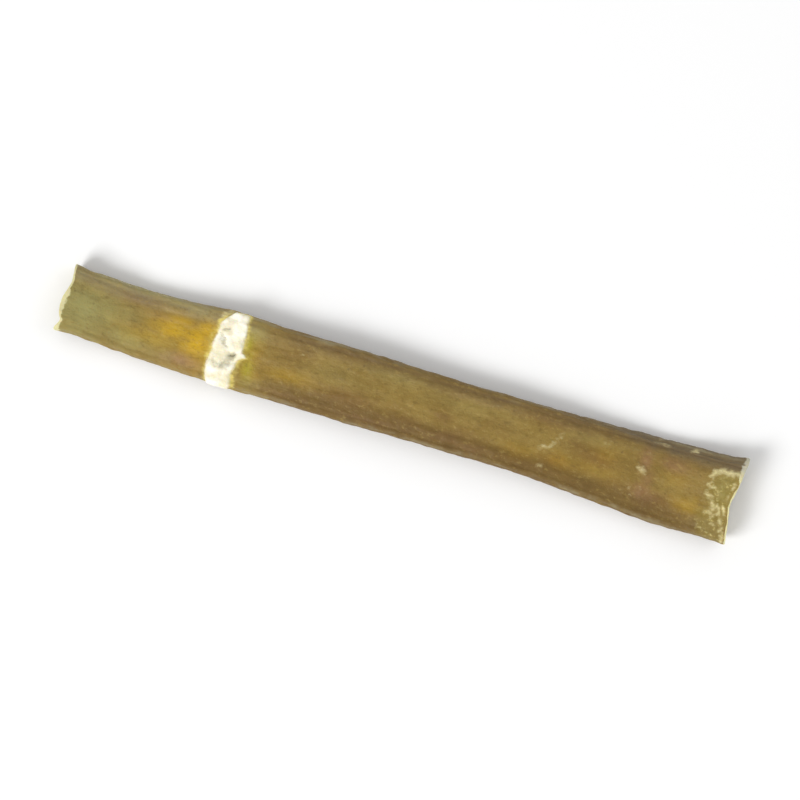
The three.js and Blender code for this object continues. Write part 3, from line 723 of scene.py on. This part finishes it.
def dried_skin():
    skin = Finish("dried_seaweed_skin")
    evenly, drawn_out, lengthwise = (skin.millimetres((stretch, 1, 1)) for stretch in (1, 1.5, 4))
    blotches = skin.mottle(evenly, 1.5, 3.0)
    patches = skin.mottle(drawn_out, 0.5, 3.0, 0.6)
    mottling = skin.mottle(drawn_out, 0.17, 3.0, 0.65)
    streaks = skin.mottle(lengthwise, 0.3, 4.0, 0.62)
    fine_streaks = skin.mottle(lengthwise, 0.1, 3.0, 0.6)
    specks = skin.mottle(evenly, 0.08, 2.0, 0.7)
    pore_places = {"Vector": evenly, "Scale": 1 / PORE_SPACING}
    pores = skin.node("TexVoronoi", {"feature": "F1"}, pore_places, "Distance")
    torn = mottling - 0.5

    def mark(name, raggedness, low, high):
        """A look whose outline is broken by the mottling, and which stays away where there is none of it."""
        look = skin.look(name)
        return (look + torn * raggedness * look.between(0, 0.2)).between(low, high)

    def tint(name, least, more):
        """A look that is stronger in the patches."""
        return skin.look(name) * (least + more * patches)

    # The skin is olive all over, and these shades lie over it in this order, each with its share.
    worn = skin.look("worn")
    layers = {
        "khaki": tint("khaki", 0.65, 0.6),
        "brown": tint("brown", 0.45, 0.8),
        # Amber: painted glow beside the split, and the skin's own tint elsewhere.
        "amber": tint("amber", 0.6, 0.7),
        "lime": tint("lime", 0.5, 0.6),
        "rosy": tint("rosy", 0.4, 0.8),
        # Painted shade towards each side of the face, as a domed face is shaded.
        "painted_flank_shade": tint("painted_flank_shade", 0.46, 0.64),
        "dark patch": patches.between(0.54, 0.72) * 0.3,
        "dark streak": streaks.between(0.54, 0.76) * 0.2,
        "dust": tint("dust", 0.16, 0.24),
        "dark mottle": mottling.between(0.53, 0.72) * (0.45 - 0.22 * skin.look("khaki")),
        "light mottle": mottling.between(0.46, 0.3) * 0.3,
        "light streak": fine_streaks.between(0.56, 0.78) * 0.2,
        "speck": specks.between(0.68, 0.84) * 0.25,
        "pit": pores.between(0.11, 0.04) * patches.between(0.45, 0.6) * 0.4,
        # Painted shade on the side walls below their middle, and on the underside.
        "wall": skin.look("wall") * 0.5,
        "underside": skin.look("under") * 0.35,
        # Painted shade and sheen on the slope where the +Y margin turns down.
        "slope_shade_and_sheen": tint("slope_shade_and_sheen", 0.4, 0.6),
        # Painted shade along the groove inside the +Y margin's rim.
        "furrow": skin.look("groove") * (0.3 + 0.5 * streaks),
        "rim": mark("lip", 1.0, 0.05, 1.15) * 0.5,
        # Dark specks, small cracks and one painted shadow below the worn patch's edge.
        "dark mark": mark("dark", 1.2, 0.3, 0.9) * 0.75,
        "worn": worn * (0.2 + 0.5 * patches),
        "worn spot": worn * mottling.between(0.42, 0.3) * 0.7,
        "worn patch": worn * patches.between(0.6, 0.7) * 0.6,
        "pale mark": mark("pale", 1.4, 0.12, 1.15) * 0.9,
        # Painted glow on the skin beside the split.
        "painted glow": mark("halo", 1.6, 0.1, 1.2) * (0.3 + 0.6 * patches.between(0.42, 0.6)),
    }
    base = skin.mix(blotches.between(0.35, 0.65), shade("olive"), shade("light olive"))
    for name, share in layers.items():
        base = skin.mix(share, base, shade(name))

    # The cut edges, greyer where painted shade and sheen lie on the slope that turns down, and the pith in
    # the split and the cuts.
    cut = skin.mix(skin.look("slope_shade_and_sheen"), shade("cut"), shade("slate cut"))
    base = skin.mix(mark("cut", 1.0, 0.1, 0.6) * 0.9, base, cut)
    # Painted shade in patches of the lumpy pith.
    pith = skin.mix(patches.between(0.3, 0.65), shade("pith"), shade("painted pith shade"))
    pith = skin.mix(mark("porous", 0.8, 0.1, 0.9) * 0.8, pith, shade("pore"))
    # Painted shade in the pith's hollows and cracks: grey over the broad hollows and darker in the deep
    # cracks.
    pith = skin.mix(mark("painted crack shade", 0.7, 0.1, 0.6) * 0.6, pith, shade("hollow"))
    pith = skin.mix(mark("painted crack shade", 0.9, 0.45, 1.15) * 0.85, pith, shade("painted crack shade"))
    base = skin.mix(mark("pith", 0.7, 0.05, 0.9), base, pith)

    # Skin is satin and pith is dull, and the finest grain is only a bump.
    pale = skin.look("pith") + skin.look("pale") * 0.6 + skin.look("cut") * 0.5
    roughness = 0.42 + 0.16 * streaks + 0.16 * mottling + 0.3 * pale.between(0, 1)
    height = 0.5 * streaks + 0.3 * fine_streaks + 0.8 * mottling + 0.35 * specks
    height = height + 0.2 * pores.between(0.03, 0.12)
    relief = skin.node("Bump", {}, {"Strength": 0.8, "Distance": 0.05 * MM, "Height": height}, "Normal")
    surface = skin.node(
        "BsdfPrincipled",
        {},
        {
            "Base Color": base,
            "Roughness": roughness,
            "Normal": relief,
            "IOR": 1.4,
            "Subsurface Weight": 0.15,
            "Subsurface Radius": (1.0, 0.5, 0.15),
            "Subsurface Scale": 0.25 * MM,
        },
    )
    skin.node("OutputMaterial", {}, {"Surface": surface})
    return skin


def floor_paper():
    paper = Finish("pale_floor")
    paper_white = (0.86, 0.86, 0.86, 1)
    surface = paper.node("BsdfPrincipled", {}, {"Base Color": paper_white, "Roughness": 0.85})
    paper.node("OutputMaterial", {}, {"Surface": surface})
    return paper


# The studio.

FLAKE_TURN = math.radians(16.85)  # how far the flake slopes down to the right in the picture
PICTURE_WIDTH = 35.6  # mm
LENS, SENSOR_WIDTH = 150, 36  # mm
NEAREST, FARTHEST = 0.005, 10  # metres that the camera sees
FLOOR_WIDTH = 1.6  # metres
FLOOR_GAP = 0.01  # mm between the flake and the floor
KEY_LIGHT = {"place": (-0.16, -0.2, 0.26), "size": 0.16, "power": 0.95}  # metres and watts
FILL_LIGHT = {"place": (0.24, 0.14, 0.3), "size": 0.3, "power": 0.3}
ROOM_LIGHT = 0.6


def camera():
    data = bpy.data.cameras.new("camera")
    data.lens, data.sensor_width = LENS, SENSOR_WIDTH
    data.clip_start, data.clip_end = NEAREST, FARTHEST
    eye = bpy.data.objects.new("camera", data)
    bpy.context.scene.collection.objects.link(eye)
    eye.location = (0, 0, PICTURE_WIDTH * MM * LENS / SENSOR_WIDTH)
    eye.rotation_euler = (0, 0, FLAKE_TURN)
    bpy.context.scene.camera = eye


def soft_light(name, place, size, power):
    data = bpy.data.lights.new(name, "AREA")
    data.shape, data.size, data.energy = "SQUARE", size, power
    light = bpy.data.objects.new(name, data)
    bpy.context.scene.collection.objects.link(light)
    light.location = place
    light.rotation_euler = (-Vector(place)).to_track_quat("-Z", "Y").to_euler()


def studio():
    bpy.ops.object.select_all(action="DESELECT")
    bpy.ops.mesh.primitive_plane_add(size=FLOOR_WIDTH, location=(0, 0, -FLOOR_GAP * MM))
    floor = bpy.context.object
    floor.name = "floor"
    floor_paper().put_on(floor)
    soft_light("key_light", **KEY_LIGHT)
    soft_light("fill_light", **FILL_LIGHT)
    world = bpy.data.worlds.new("pale_room")
    world.use_nodes = True
    room = world.node_tree.nodes["Background"]
    room.inputs["Color"].default_value = (1, 1, 1, 1)
    room.inputs["Strength"].default_value = ROOM_LIGHT
    bpy.context.scene.world = world
    bpy.context.scene.view_settings.view_transform = "Standard"


camera()
studio()
flake = straight_strap()
dry(flake)
dried_skin().put_on(flake)
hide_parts("flake")
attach(flake, "root")
